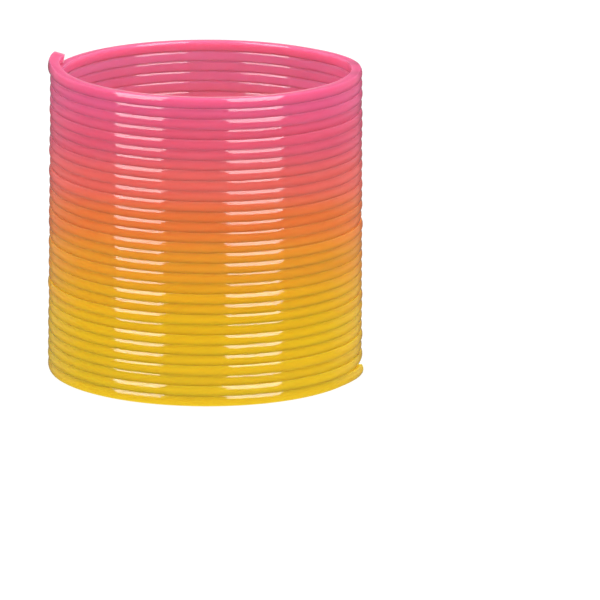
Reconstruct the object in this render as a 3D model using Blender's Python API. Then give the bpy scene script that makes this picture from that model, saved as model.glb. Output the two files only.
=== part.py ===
"""A coil-spring toy: one flat plastic strip wound edge on edge into a closed upright stack of turns.

Metres, +Z up. The origin is where the coil's axis meets the surface that the coil stands on. The
strip is divided where it works: each turn is a wide arc that lies in the stack (turn_NN) and a short
arc at the right, +X, that climbs to the next layer and twists (flex_NN). The coil is left-handed:
going up, the strip runs clockwise as seen from above.
"""

import math

import bmesh
import bpy
from mathutils import Vector

# The coil
OUTER_DIAMETER = 0.065
STRIP_WIDTH = 0.0024  # measured along the coil's radius
PITCH = 0.00216  # height of one layer of the closed stack
GAP = 0.0003  # between a layer and the next, and between one arc and the next
WHOLE_TURNS = 29
START_DEG = 350.0  # where the strip's lower end lies, anticlockwise from +X
END_DEG = 165.0  # where its upper end lies

# How the strip climbs: it lies level for most of a turn, then rises over a short ramp
LEVEL_PART = 0.83  # of a turn
TOP_LEVELNESS = 0.45  # the top turns rest less flat than the bottom one
FLEX_PART = 20.0 / 360.0  # of a turn, from the far end of each turn's ramp
SEGMENT = 10.0 / 360.0  # of a turn, between cross-sections

OUTER_RADIUS = OUTER_DIAMETER / 2
INNER_RADIUS = OUTER_RADIUS - STRIP_WIDTH
THICKNESS = PITCH - GAP
TURNS = WHOLE_TURNS + (START_DEG - END_DEG) / 360.0

ROUGHNESS = 0.18  # of the glossy plastic
EDGE_ANGLE = math.radians(30)  # the strip's corners are sharper than this

# The strip's colours, each as (the share of the coil's height that it reaches up to, linear RGB)
COLOURS = {
    "amber": (0.25, (0.77, 0.45, 0.025)),
    "yellow_orange": (0.42, (0.83, 0.33, 0.022)),
    "orange": (0.58, (0.82, 0.18, 0.035)),
    "coral": (0.76, (0.78, 0.12, 0.115)),
    "pink": (1.01, (0.75, 0.10, 0.20)),
}


def smooth(t):
    """A rise from 0 to 1 that starts and ends level."""
    t = min(max(t, 0.0), 1.0)
    return t * t * (3 - 2 * t)


def levelness(s):
    """1 where a turn lies flat but for its ramp, 0 where it would climb evenly all round."""
    return 1 - (1 - TOP_LEVELNESS) * smooth((s - 1) / (TURNS - 1))


def lag(u):
    """How far, in layers, a flat turn has fallen behind an even climb after the share u of it."""
    if u <= LEVEL_PART:
        return u
    return LEVEL_PART * (1 - smooth((u - LEVEL_PART) / (1 - LEVEL_PART)))


def underside(s):
    """The height of the strip's underside, s turns from its lower end."""
    return PITCH * (s - levelness(s) * lag(s % 1.0))


def section(s):
    """The strip's four corners, s turns from its lower end."""
    angle = math.radians(START_DEG - 360.0 * s)
    out = Vector((math.cos(angle), math.sin(angle), 0))
    low = underside(s)
    return [
        out * radius + Vector((0, 0, height))
        for radius, height in (
            (INNER_RADIUS, low),
            (OUTER_RADIUS, low),
            (OUTER_RADIUS, low + THICKNESS),
            (INNER_RADIUS, low + THICKNESS),
        )
    ]


def stations(start, end):
    """The places of an arc's cross-sections, with its ends drawn back by half a gap."""
    back = GAP / 2 / (math.tau * OUTER_RADIUS)
    clear = SEGMENT / 4
    whole = range(math.floor(start / SEGMENT), math.ceil(end / SEGMENT) + 1)
    between = [i * SEGMENT for i in whole if start + clear < i * SEGMENT < end - clear]
    return [start + back] + between + [end - back]


def material(name, colour):
    made = bpy.data.materials.new(name)
    made.use_nodes = True
    shader = made.node_tree.nodes["Principled BSDF"]
    shader.inputs["Base Color"].default_value = (*colour, 1)
    shader.inputs["Roughness"].default_value = ROUGHNESS
    shader.inputs["Metallic"].default_value = 0.0
    return made


def colour_name(height):
    """The colour of the strip at this share of the coil's height."""
    return next(name for name, (top, _) in COLOURS.items() if height < top)


def arc(name, start, end, pivot):
    """The strip from start to end turns from its lower end, as one closed solid about pivot."""
    mesh = bmesh.new()
    rings = [[mesh.verts.new(p - pivot) for p in section(s)] for s in stations(start, end)]
    for near, far in zip(rings, rings[1:]):
        for i, here in enumerate(near):
            mesh.faces.new((near[i - 1], here, far[i], far[i - 1]))
    mesh.faces.new(rings[0][::-1])
    mesh.faces.new(rings[-1])
    bmesh.ops.recalc_face_normals(mesh, faces=mesh.faces)
    data = bpy.data.meshes.new(name)
    mesh.to_mesh(data)
    mesh.free()
    data.shade_smooth()
    data.set_sharp_from_angle(angle=EDGE_ANGLE)
    made = bpy.data.objects.new(name, data)
    made.location = pivot
    slot = colour_name((start + end) / 2 / TURNS)
    data.materials.append(materials[slot])
    bpy.context.scene.collection.objects.link(made)
    return made


def hinge_point(turn):
    """Where turn number `turn` rocks on the one below: the outermost point at +X, between the two."""
    s = turn - FLEX_PART / 2
    return Vector((OUTER_RADIUS, 0, underside(s) + THICKNESS + GAP / 2))


for old in list(bpy.data.objects):
    bpy.data.objects.remove(old)

materials = {name: material(name, colour) for name, (_, colour) in COLOURS.items()}
for n in range(WHOLE_TURNS):
    on_axis = hinge_point(n) if n else Vector((0, 0, 0))
    arc(f"turn_{n + 1:02d}", n, n + 1 - FLEX_PART, on_axis)
    arc(f"flex_{n + 1:02d}", n + 1 - FLEX_PART, n + 1, Vector((0, 0, underside(n + 1))))
arc(f"turn_{WHOLE_TURNS + 1:02d}", WHOLE_TURNS, TURNS, hinge_point(WHOLE_TURNS))
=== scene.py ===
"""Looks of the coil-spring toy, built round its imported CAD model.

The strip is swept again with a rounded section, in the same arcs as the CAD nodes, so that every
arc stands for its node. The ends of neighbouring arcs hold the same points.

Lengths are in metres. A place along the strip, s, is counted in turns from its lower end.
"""

import math

import bpy
import numpy as np
from mathutils import Matrix, Vector


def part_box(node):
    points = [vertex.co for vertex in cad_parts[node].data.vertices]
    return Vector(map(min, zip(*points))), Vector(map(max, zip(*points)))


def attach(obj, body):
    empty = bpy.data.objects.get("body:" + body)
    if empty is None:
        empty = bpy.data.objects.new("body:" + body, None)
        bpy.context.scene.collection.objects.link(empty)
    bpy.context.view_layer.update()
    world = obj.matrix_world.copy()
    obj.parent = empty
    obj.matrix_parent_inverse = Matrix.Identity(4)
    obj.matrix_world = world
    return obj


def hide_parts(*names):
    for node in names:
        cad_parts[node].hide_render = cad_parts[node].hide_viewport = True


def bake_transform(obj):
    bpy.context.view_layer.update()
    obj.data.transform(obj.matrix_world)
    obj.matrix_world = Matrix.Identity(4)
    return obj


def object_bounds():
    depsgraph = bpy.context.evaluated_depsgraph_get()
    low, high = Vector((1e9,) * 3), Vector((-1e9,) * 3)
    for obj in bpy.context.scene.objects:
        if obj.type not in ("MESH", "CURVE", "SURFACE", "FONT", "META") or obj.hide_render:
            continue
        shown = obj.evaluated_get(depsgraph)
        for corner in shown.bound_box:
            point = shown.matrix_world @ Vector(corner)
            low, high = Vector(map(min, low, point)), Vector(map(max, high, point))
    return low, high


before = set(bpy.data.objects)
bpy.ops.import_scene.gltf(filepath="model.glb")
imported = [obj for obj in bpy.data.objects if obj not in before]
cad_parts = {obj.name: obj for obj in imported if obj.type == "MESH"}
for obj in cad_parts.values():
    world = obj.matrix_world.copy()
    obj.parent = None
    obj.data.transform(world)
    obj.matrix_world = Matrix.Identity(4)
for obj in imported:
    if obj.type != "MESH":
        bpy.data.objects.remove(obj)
cad_low, cad_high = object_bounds()

# --- The strip's course, as the CAD has it -------------------------------------------------------

TURN_NODES = sorted(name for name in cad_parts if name.startswith("turn_"))
WHOLE_TURNS = len(TURN_NODES) - 1
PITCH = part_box(TURN_NODES[1])[0].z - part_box(TURN_NODES[0])[0].z
OUTER_RADIUS = cad_high.x
START_DEG = 350.0  # where the strip's lower end lies, anticlockwise from +X
END_DEG = 162.0  # where its upper end lies, 3 degrees past the CAD's, because it springs out
TURNS = WHOLE_TURNS + (START_DEG - END_DEG) / 360.0
LEVEL_PART = 0.83  # of a turn, before it climbs to the next layer
TOP_LEVELNESS = 0.45  # the top turns rest less flat than the bottom one
FLEX_PART = 20.0 / 360.0  # of a turn, from the far end of each turn's climb

# --- The strip's section -------------------------------------------------------------------------

STRIP_WIDTH = 0.0024
STRIP_HEIGHT = 0.998 * PITCH
CROWN_RADIUS = 0.0020  # of the outward face, which bulges a little
CROWN_PROUD = 0.00015  # how far the bulge stands out past the CAD's flat face
CROWN_TURN = math.radians(32)  # how far the bulge turns, above and below its middle
WORN_RADIUS = 0.0008  # of the two worn edges of the inward face
WORN_TURN = math.radians(38)  # how far each of them turns
CORNER_RADIUS = 0.00004  # left where they meet the flat top and bottom
CORNER_SKIP = 0.2  # radians from the end of one of these arcs to the first point of its corner
FLAT_SHADE = math.radians(15)  # how far the shading of the top and bottom turns from level
FLAT_NORMAL = 0.9  # a point belongs to the top or the bottom where its normal rises more than this
STATION_DEG = 2.5  # of the coil, between cross-sections
BEVEL_TURNS = 0.0004  # length of the bevel round a cut end
BEVEL_SIZE = 0.96  # how large the cut face is, next to the section

# --- What handling has done to it ----------------------------------------------------------------

# A wave is (cycles per turn, phase in cycles).
RADIUS_WANDER = 0.00004
RADIUS_WAVES = ((0.37, 0.1), (0.83, 0.4), (1.41, 0.7))
SIDE_WANDER = 0.00007
SIDE_WAVES_X = ((0.29, 0.3), (0.46, 0.9))
SIDE_WAVES_Y = ((0.33, 0.6), (0.54, 0.2))
LEAN_WANDER = math.radians(1.2)  # of the strip's sides, which no two turns have quite alike
LEAN_WAVES = ((0.41, 0.8), (0.71, 0.5), (1.27, 0.2))
SURFACE_WANDER = math.radians(6)  # of the way that the moulded surface faces, as its shine shows
SURFACE_WAVES = ((0.43, 0.15), (0.79, 0.65), (1.23, 0.4))
STEADY_TURNS = (0.5, 1.5)  # at the lower and the upper end, over which the wander sets in
FLARE = 0.0005  # how much wider the lowest turn rests than the highest
TIP_LENGTH = 0.08  # of a turn, at the upper end, which springs out
TIP_OUT = 0.0011
TIP_ROLL = math.radians(12)
TIP_SQUARE = 0.8  # how far its corners come out, where it was cut off before it cooled
FOOT_LENGTH = 0.065  # of a turn, at the lower end, which springs out a little less
FOOT_OUT = 0.0007
ROCK_ROOM = 0.04  # how much lower the strip is at the right, where the layers rock on each other
ROCK_FROM, ROCK_FULL = 0.8, 0.95  # cosines of the angle from +X, where that begins and is full


def smooth(t):
    """A rise from 0 to 1 that starts and ends level."""
    t = np.clip(t, 0.0, 1.0)
    return t * t * (3 - 2 * t)


def underside(s):
    """The height of the strip's underside."""
    u = s - np.floor(s)
    levelness = 1 - (1 - TOP_LEVELNESS) * smooth((s - 1) / (TURNS - 1))
    ramp = LEVEL_PART * (1 - smooth((u - LEVEL_PART) / (1 - LEVEL_PART)))
    return PITCH * (s - levelness * np.where(u <= LEVEL_PART, u, ramp))


def wander(s, waves):
    """A slow drift along the strip, so that no two turns match."""
    return sum(np.sin(math.tau * (f * s + p)) for f, p in waves) / len(waves) ** 0.5


def tip(s):
    """0 along the strip, rising to 1 at its upper end."""
    return smooth((s - TURNS + TIP_LENGTH) / TIP_LENGTH)


def heading(s):
    """The angle from +X, in radians."""
    return np.radians(START_DEG - 360.0 * s)


def strip(s):
    """(centre, outward direction, upward direction, tangent of the lean) of the section at each s."""
    angle = heading(s)
    radial = np.stack([np.cos(angle), np.sin(angle), np.zeros_like(s)], axis=1)
    up = np.tile([0.0, 0.0, 1.0], (len(s), 1))
    settled = smooth(s / STEADY_TURNS[0]) * smooth((TURNS - s) / STEADY_TURNS[1])
    radius = OUTER_RADIUS + CROWN_PROUD - STRIP_WIDTH / 2 + FLARE * (1 - s / TURNS)
    radius = radius + TIP_OUT * tip(s) + FOOT_OUT * smooth(1 - s / FOOT_LENGTH)
    radius = radius + RADIUS_WANDER * wander(s, RADIUS_WAVES)
    height = underside(s) + STRIP_HEIGHT / 2
    centre = radial * radius[:, None] + up * height[:, None]
    centre[:, 0] += SIDE_WANDER * settled * wander(s, SIDE_WAVES_X)
    centre[:, 1] += SIDE_WANDER * settled * wander(s, SIDE_WAVES_Y)
    lean = LEAN_WANDER * settled * wander(s, LEAN_WAVES)
    roll = (TIP_ROLL * tip(s))[:, None]
    out = radial * np.cos(roll) + up * np.sin(roll)
    return centre, out, up * np.cos(roll) - radial * np.sin(roll), np.tan(lean)


def section():
    """(points, normals) of the strip's section from the middle, x outward and y up.

    The outward face is an arc, and a small corner joins it to the flat top and to the flat bottom.
    The inward face is flat between its two worn edges, which end in small corners too.
    """
    half_width, half_height = STRIP_WIDTH / 2, STRIP_HEIGHT / 2
    corner = (half_height - CROWN_RADIUS * math.sin(CROWN_TURN)) / (1 - math.sin(CROWN_TURN))
    crown_depth = CROWN_RADIUS * (1 - math.cos(CROWN_TURN))
    corner_x = half_width - crown_depth - corner * math.cos(CROWN_TURN)
    worn_x = WORN_RADIUS - half_width
    worn_rise = math.sin(WORN_TURN)
    worn_y = half_height - WORN_RADIUS * worn_rise - CORNER_RADIUS * (1 - worn_rise)
    back_x = worn_x - (WORN_RADIUS - CORNER_RADIUS) * math.cos(WORN_TURN)
    up, back, down = math.pi / 2, math.pi, 3 * math.pi / 2
    crown_end, worn_start, worn_end = CROWN_TURN + CORNER_SKIP, back - WORN_TURN, back + WORN_TURN
    arcs = (  # (centre x, centre y, radius, first and last direction of the normal, steps)
        (half_width - CROWN_RADIUS, 0, CROWN_RADIUS, -CROWN_TURN, CROWN_TURN, 10),
        (corner_x, half_height - corner, corner, crown_end, up, 3),
        (back_x, half_height - CORNER_RADIUS, CORNER_RADIUS, up, worn_start - CORNER_SKIP, 2),
        (worn_x, worn_y, WORN_RADIUS, worn_start, back, 5),
        (worn_x, -worn_y, WORN_RADIUS, back, worn_end, 5),
        (back_x, CORNER_RADIUS - half_height, CORNER_RADIUS, worn_end + CORNER_SKIP, down, 2),
        (corner_x, corner - half_height, corner, -up, -crown_end, 3),
    )
    points, normals = [], []
    for x, y, radius, first, last, steps in arcs:
        turn = np.linspace(first, last, steps + 1)
        side = back if (first + last) / 2 > up else 0
        facing = np.clip(turn, side - up + FLAT_SHADE, side + up - FLAT_SHADE)
        points.append(np.array([x, y]) + radius * np.stack([np.cos(turn), np.sin(turn)], axis=1))
        normals.append(np.stack([np.cos(facing), np.sin(facing)], axis=1))
    return np.concatenate(points), np.concatenate(normals)


SHAPE, SHAPE_NORMAL = section()


def stations(start, end, blunt_start, blunt_end):
    """(places of the cross-sections, size of each one), with a bevel round a blunt end."""
    count = max(2, round((end - start) * 360 / STATION_DEG))
    s = np.linspace(start, end, count + 1)
    size = np.ones(len(s))
    if blunt_start:
        s, size = np.insert(s, 1, start + BEVEL_TURNS), np.insert(size, 0, BEVEL_SIZE)
    if blunt_end:
        s, size = np.insert(s, -1, end - BEVEL_TURNS), np.append(size, BEVEL_SIZE)
    return s, size


def surface(s, size):
    """(points, normals, direction along the strip) of the cross-sections, one ring for each s."""
    centre, out, up, lean = strip(s)
    corners = np.sign(SHAPE[:, 0]) * STRIP_WIDTH / 2
    filled = SHAPE[:, 0] + TIP_SQUARE * tip(s)[:, None] * (corners - SHAPE[:, 0])
    across = (filled + lean[:, None] * SHAPE[:, 1]) * size[:, None]
    near_hinge = smooth((np.cos(heading(s)) - ROCK_FROM) / (ROCK_FULL - ROCK_FROM))
    above = SHAPE[:, 1] * (size * (1 - ROCK_ROOM * near_hinge))[:, None]
    points = centre[:, None] + out[:, None] * across[:, :, None] + up[:, None] * above[:, :, None]
    faced = lean + np.tan(SURFACE_WANDER * wander(s, SURFACE_WAVES))
    tilted = SHAPE_NORMAL[:, 1] - faced[:, None] * SHAPE_NORMAL[:, 0]
    normals = out[:, None] * SHAPE_NORMAL[None, :, :1] + up[:, None] * tilted[:, :, None]
    normals /= np.linalg.norm(normals, axis=2, keepdims=True)
    return points, normals, np.cross(out, up)


def sweep(name, start, end, blunt_start=False, blunt_end=False):
    """The strip from start to end as a closed mesh with exact normals, and each point's s."""
    s, size = stations(start, end, blunt_start, blunt_end)
    points, normals, forward = surface(s, size)
    rings, k = points.shape[:2]
    index = np.arange(rings * k).reshape(rings, k)
    a, b = index[:-1], index[1:]
    quads = np.stack([a, np.roll(a, -1, axis=1), np.roll(b, -1, axis=1), b], axis=-1).reshape(-1, 4)
    caps = [index[0][::-1].tolist(), index[-1].tolist()]
    mesh = bpy.data.meshes.new(name)
    mesh.from_pydata(points.reshape(-1, 3).tolist(), [], quads.tolist() + caps)
    mesh.shade_smooth()

    corner_point = np.empty(len(mesh.loops), np.int32)
    mesh.loops.foreach_get("vertex_index", corner_point)
    corner_normal = normals.reshape(-1, 3)[corner_point]
    corner_normal[quads.size : quads.size + k] = -forward[0]
    corner_normal[quads.size + k :] = forward[-1]
    mesh.normals_split_custom_set(corner_normal.tolist())

    along = np.repeat(s, k)
    around = np.tile(np.arange(k) / k, rings)[corner_point]
    closing = np.zeros(len(corner_point), bool)  # the corners of the faces that close each ring
    closing[: quads.size] = np.repeat(np.tile(np.arange(k) == k - 1, rings - 1), 4)
    around = np.where(closing & (around == 0), 1.0, around)
    course = np.stack([along[corner_point], around], axis=1).astype(np.float32)
    mesh.uv_layers.new(name="Strip").data.foreach_set("uv", course.ravel())

    lower, upper = np.inf if blunt_start else start, np.inf if blunt_end else end
    mark_surface(mesh, points, along, np.minimum(np.abs(along - lower), np.abs(upper - along)))
    piece = bpy.data.objects.new(name, mesh)
    bpy.context.scene.collection.objects.link(piece)
    return piece, along


def mark_surface(mesh, points, along, to_seam):
    """Gives each point the values that the material reads, from its s and its turns to a seam."""
    rings = len(points)
    inside = smooth(to_seam * math.tau * OUTER_RADIUS / SEAM_FADE)
    past_ends = np.maximum(along - TURNS, -along)
    uncovered = smooth((past_ends + 1 + UNCOVERED_FADE) / UNCOVERED_FADE)
    inward = smooth(-SHAPE[:, 0] / (STRIP_WIDTH / 3))
    # painted light on the crown's edges, where the grooves between turns are shaded
    at_edge = smooth((np.abs(SHAPE[:, 1]) / (STRIP_HEIGHT / 2) - EDGE_FROM) / (1 - EDGE_FROM))
    on_crown = SHAPE_NORMAL[:, 0] > math.cos(CROWN_TURN + CORNER_SKIP / 2)
    # painted light: marks the inward face, and in part the edges of the outward crown, to be painted
    # paler
    pale = np.tile(np.maximum(inward, EDGE_LIGHT * at_edge * on_crown), rings)
    flat = np.abs(SHAPE_NORMAL[:, 1]) > FLAT_NORMAL
    level = points[:, :, 2] + DYE_SLANT * (points[:, :, 1] + OUTER_RADIUS)
    # painted shade: the highest and lowest turns are tinted darker in part, and their inward face
    # painted less pale
    values = {
        "Height": level.ravel() / cad_high.z,
        "PaintedLight": pale * (1 - END_SHADE / 2 * uncovered),
        "Bulk": inside,
        "PaintedShade": np.maximum(1 - inside, END_SHADE * uncovered),
        "Rubbed": np.tile(flat, rings),
    }
    for name, value in values.items():
        made = mesh.attributes.new(name, "FLOAT", "POINT")
        made.data.foreach_set("value", value.astype(np.float32))


def bend(piece, start, end):
    """Bakes the piece's place into its points."""
    centre = strip(np.array([start, end]))[0]
    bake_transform(piece)


# --- The plastic ---------------------------------------------------------------------------------

HUES = (  # share of the coil's height, and the colour there as 0 to 255 screen values
    (0.00, (228, 173, 29)),
    (0.25, (239, 169, 22)),
    (0.34, (239, 157, 25)),
    (0.46, (239, 138, 35)),
    (0.60, (239, 109, 51)),
    (0.72, (239, 93, 86)),
    (0.86, (222, 81, 107)),
    (1.00, (228, 84, 126)),
)
DYE_SLANT = 0.15  # the bands of colour slope down to the back by this much, against the turns
DYE = (0.96, 1.04)  # how unevenly the strip took its colour
INNER_LIGHT_GAMMA = 0.86  # painted light: the inward face is painted paler, for the light that comes through the strip
INNER_LIGHT_GAIN = 1.25
EDGE_LIGHT = 0.8  # painted light: the edges of the outward face are painted paler too, in part, to lighten the shade in the grooves
EDGE_FROM = 0.75  # of the way up or down to an edge, where that begins
SEAM_FADE = 0.003  # light spreads less inside, this near to the next arc, so that no line shows
SEAM_SHADE_TINT = (0.78, 0.92, 0.9)  # painted shade: tints the colour there darker, to even it with the rest of the strip
END_SHADE = 0.85  # painted shade: darkens in part the highest and lowest turns, which nothing covers, and tones down their painted paler inward face
UNCOVERED_FADE = 0.05  # of a turn, over which they come out from under the next one
ROUGHNESS = (0.055, 0.095)
RUBBED_ROUGHNESS = 0.5  # of the top and bottom faces, which rub on the layers above and below
LINE_DEPTH = 0.000003  # of the fine lines along the strip, left by its die
IOR = 1.5
LIGHT_SPREAD = 0.008  # how far light goes inside the plastic
SPREAD_BY_COLOUR = (1.0, 0.8, 0.7)

# Noise: cycles per turn, cycles round the section, detail.
DYE_STREAKS = (2.3, 1.5, 3.0)
ROUGHNESS_STREAKS = (9.0, 30.0, 2.0)
LINE_STREAKS = (6.0, 45.0, 2.0)


def linear(srgb):
    """A colour as the shader wants it, from its screen values."""
    return [((c / 255 + 0.055) / 1.055) ** 2.4 if c > 10 else c / 255 / 12.92 for c in srgb]


def add(tree, kind, inputs, **settings):
    """A new node of the tree. Each input is a value to set, or another node's output to link."""
    made = tree.nodes.new(kind)
    for name, value in settings.items():
        setattr(made, name, value)
    for name, value in inputs.items():
        if isinstance(value, bpy.types.NodeSocket):
            tree.links.new(value, made.inputs[name])
        else:
            made.inputs[name].default_value = value
    return made


def surface_value(tree, name):
    """What mark_surface gave each point under this name."""
    return add(tree, "ShaderNodeAttribute", {}, attribute_name=name).outputs["Fac"]


def streaks(tree, along, across, detail):
    """Noise drawn out along the strip, from the three numbers given above."""
    course = add(tree, "ShaderNodeUVMap", {}, uv_map="Strip").outputs["UV"]
    drawn = add(tree, "ShaderNodeMapping", {"Vector": course, "Scale": (along, across, 1)})
    inputs = {"Vector": drawn.outputs["Vector"], "Scale": 1.0, "Detail": detail}
    return add(tree, "ShaderNodeTexNoise", inputs).outputs["Fac"]


def spread(tree, value, low, high):
    """The middle half of a noise's values, spread over low to high."""
    inputs = {"Value": value, "From Min": 0.25, "From Max": 0.75, "To Min": low, "To Max": high}
    return add(tree, "ShaderNodeMapRange", inputs).outputs["Result"]


def height_colour(tree):
    """The strip's colour, by the share of the coil's height."""
    ramp = add(tree, "ShaderNodeValToRGB", {"Fac": surface_value(tree, "Height")})
    ramp.color_ramp.interpolation = "EASE"
    stops = ramp.color_ramp.elements
    for share, _ in HUES[1:-1]:
        stops.new(share)
    for stop, (_, srgb) in zip(stops, HUES):
        stop.color = (*linear(srgb), 1)
    return ramp.outputs["Color"]


def blend_colours(tree, factor, first, second):
    inputs = {"Factor": factor, "A": first, "B": second}
    return add(tree, "ShaderNodeMix", inputs, data_type="RGBA").outputs["Result"]


def scaled(tree, colour, by):
    inputs = {0: colour, "Scale": by}
    return add(tree, "ShaderNodeVectorMath", inputs, operation="SCALE").outputs["Vector"]


def plastic():
    made = bpy.data.materials.new("translucent_plastic")
    made.use_nodes = True
    tree = made.node_tree
    colour = height_colour(tree)
    # painted light: the inward face, and in part the edges of the outward crown, are painted paler
    painted_light_colour = add(tree, "ShaderNodeGamma", {"Color": colour, "Gamma": INNER_LIGHT_GAMMA}).outputs["Color"]
    pale = surface_value(tree, "PaintedLight")
    colour = blend_colours(tree, pale, colour, scaled(tree, painted_light_colour, INNER_LIGHT_GAIN))
    colour = scaled(tree, colour, spread(tree, streaks(tree, *DYE_STREAKS), *DYE))
    # painted shade: near the seams, and in part on the highest and lowest turns, the colour is tinted
    # darker
    painted_shade_colour = add(tree, "ShaderNodeVectorMath", {0: colour, 1: SEAM_SHADE_TINT}, operation="MULTIPLY")
    colour = blend_colours(tree, surface_value(tree, "PaintedShade"), colour, painted_shade_colour.outputs["Vector"])

    glossy = spread(tree, streaks(tree, *ROUGHNESS_STREAKS), *ROUGHNESS)
    rubbed = {"Factor": surface_value(tree, "Rubbed"), "A": glossy, "B": RUBBED_ROUGHNESS}
    roughness = add(tree, "ShaderNodeMix", rubbed).outputs["Result"]
    lines = {"Height": streaks(tree, *LINE_STREAKS), "Distance": LINE_DEPTH, "Strength": 1.0}
    normal = add(tree, "ShaderNodeBump", lines).outputs["Normal"]

    shader = tree.nodes["Principled BSDF"]
    tree.links.new(colour, shader.inputs["Base Color"])
    tree.links.new(roughness, shader.inputs["Roughness"])
    tree.links.new(normal, shader.inputs["Normal"])
    tree.links.new(surface_value(tree, "Bulk"), shader.inputs["Subsurface Weight"])
    shader.inputs["IOR"].default_value = IOR
    shader.inputs["Subsurface Radius"].default_value = SPREAD_BY_COLOUR
    shader.inputs["Subsurface Scale"].default_value = LIGHT_SPREAD
    return made


# --- Camera, floor and light ---------------------------------------------------------------------

LENS, SENSOR_WIDTH = 457.0, 36.0  # millimetres
CAMERA_REACH = 20.0  # how far it sees
CAMERA_DISTANCE = 1.6
CAMERA_ELEVATION = math.radians(13.6)
CAMERA_TILT = math.radians(0.43)
CAMERA_MIDDLE = 0.0317  # height of the point that the camera looks down to
AIM_RIGHT, AIM_DOWN = 0.0199, 0.0167  # from that point to the middle of the picture

ROOM = 1.33  # how bright the room is all round
ROOM_IN_GLOSS = 0.15  # and how bright it looks in the plastic, between the softboxes
LIGHT_DISTANCE = 1.5

FLOOR_HALF_SIDE = 6.0
FLOOR_DROP = 0.0001  # below the coil's lowest point
FLOOR_COLOUR = (0.2, 0.2, 0.2, 1)
FLOOR_GLOW = 0.85  # makes it as pale as a backlit table
FLOOR_ROUGHNESS = 0.9
FLOOR_SHEEN = 0.1


def camera():
    data = bpy.data.cameras.new("camera")
    data.sensor_width = SENSOR_WIDTH
    data.lens = LENS
    data.clip_end = CAMERA_REACH
    made = bpy.data.objects.new("camera", data)
    level, rise = math.cos(CAMERA_ELEVATION), math.sin(CAMERA_ELEVATION)
    middle = Vector((0, 0, CAMERA_MIDDLE))
    made.location = middle + Vector((0, -level, rise)) * CAMERA_DISTANCE
    aim = middle + Vector((1, 0, 0)) * AIM_RIGHT - Vector((0, rise, level)) * AIM_DOWN
    facing = (aim - made.location).to_track_quat("-Z", "Y").to_matrix()
    made.rotation_euler = (facing @ Matrix.Rotation(CAMERA_TILT, 3, "Z")).to_euler()
    bpy.context.scene.collection.objects.link(made)
    bpy.context.scene.camera = made


def softbox(name, azimuth, elevation, size, radiance, lean=0, shine=False):
    """A rectangular light, azimuth degrees to the right of the camera's side of the object.

    One for shine is seen in the gloss and lights nothing, and the others are the opposite.
    """
    data = bpy.data.lights.new(name, "AREA")
    data.shape = "RECTANGLE"
    data.size, data.size_y = size
    data.energy = radiance * math.pi * size[0] * size[1]
    made = bpy.data.objects.new(name, data)
    a, e = math.radians(azimuth), math.radians(elevation)
    way = Vector((math.sin(a) * math.cos(e), -math.cos(a) * math.cos(e), math.sin(e)))
    middle = Vector((0, 0, cad_high.z / 2))
    made.location = middle + way * LIGHT_DISTANCE
    facing = (-way).to_track_quat("-Z", "Y").to_matrix()
    made.rotation_euler = (facing @ Matrix.Rotation(math.radians(lean), 3, "Z")).to_euler()
    made.visible_camera = False
    made.visible_glossy = shine
    made.visible_diffuse = made.visible_transmission = made.visible_volume_scatter = not shine
    bpy.context.scene.collection.objects.link(made)


def room():
    """Even white light from all round, dimmer where the gloss shows it."""
    world = bpy.data.worlds.new("studio")
    world.use_nodes = True
    tree = world.node_tree
    in_gloss = tree.nodes.new("ShaderNodeLightPath").outputs["Is Glossy Ray"]
    inputs = {"Value": in_gloss, "To Min": ROOM, "To Max": ROOM_IN_GLOSS}
    brightness = add(tree, "ShaderNodeMapRange", inputs).outputs["Result"]
    background = tree.nodes["Background"]
    background.inputs["Color"].default_value = (1, 1, 1, 1)
    tree.links.new(brightness, background.inputs["Strength"])
    bpy.context.scene.world = world


def floor():
    side = FLOOR_HALF_SIDE
    corners = [(-side, -side, 0), (side, -side, 0), (side, side, 0), (-side, side, 0)]
    data = bpy.data.meshes.new("floor")
    data.from_pydata(corners, [], [(0, 1, 2, 3)])
    made = bpy.data.objects.new("floor", data)
    made.location.z = -FLOOR_DROP
    pale = bpy.data.materials.new("pale_floor")
    pale.use_nodes = True
    shader = pale.node_tree.nodes["Principled BSDF"]
    shader.inputs["Base Color"].default_value = FLOOR_COLOUR
    shader.inputs["Emission Color"].default_value = (1, 1, 1, 1)
    shader.inputs["Emission Strength"].default_value = FLOOR_GLOW
    shader.inputs["Roughness"].default_value = FLOOR_ROUGHNESS
    shader.inputs["Specular IOR Level"].default_value = FLOOR_SHEEN
    data.materials.append(pale)
    made.visible_glossy = False
    bpy.context.scene.collection.objects.link(made)


# --- The strip, one piece for each CAD node ------------------------------------------------------


def stands_for(piece, node, skin):
    piece.data.materials.append(skin)
    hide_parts(node)


def coil():
    skin = plastic()
    for n in range(WHOLE_TURNS):
        turn, flex, above = f"turn_{n + 1:02d}", f"flex_{n + 1:02d}", f"turn_{n + 2:02d}"
        join = n + 1 - FLEX_PART
        piece, along = sweep(f"strip_{turn}", n, join, blunt_start=n == 0)
        bend(piece, n, join)
        stands_for(piece, turn, skin)
        piece, along = sweep(f"strip_{flex}", join, n + 1)
        bend(piece, join, n + 1)
        stands_for(piece, flex, skin)
    top = TURN_NODES[-1]
    piece, _ = sweep(f"strip_{top}", WHOLE_TURNS, TURNS, blunt_end=True)
    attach(piece, top)
    stands_for(piece, top, skin)


camera()
room()
softbox("left_shine", -55.5, 35, (0.94, 1.2), 7.6, lean=16, shine=True)
softbox("right_shine", 40.9, 36.5, (1.03, 1.2), 7.6, lean=-14, shine=True)
softbox("left_rim", -128, 15, (1.2, 1.8), 0.2, shine=True)
softbox("right_rim", 128, 15, (1.2, 1.8), 0.2, shine=True)
softbox("front_fill", 12, 30, (1.6, 1.6), 0.5)
floor()
coil()
bpy.context.scene.view_settings.view_transform = "Standard"
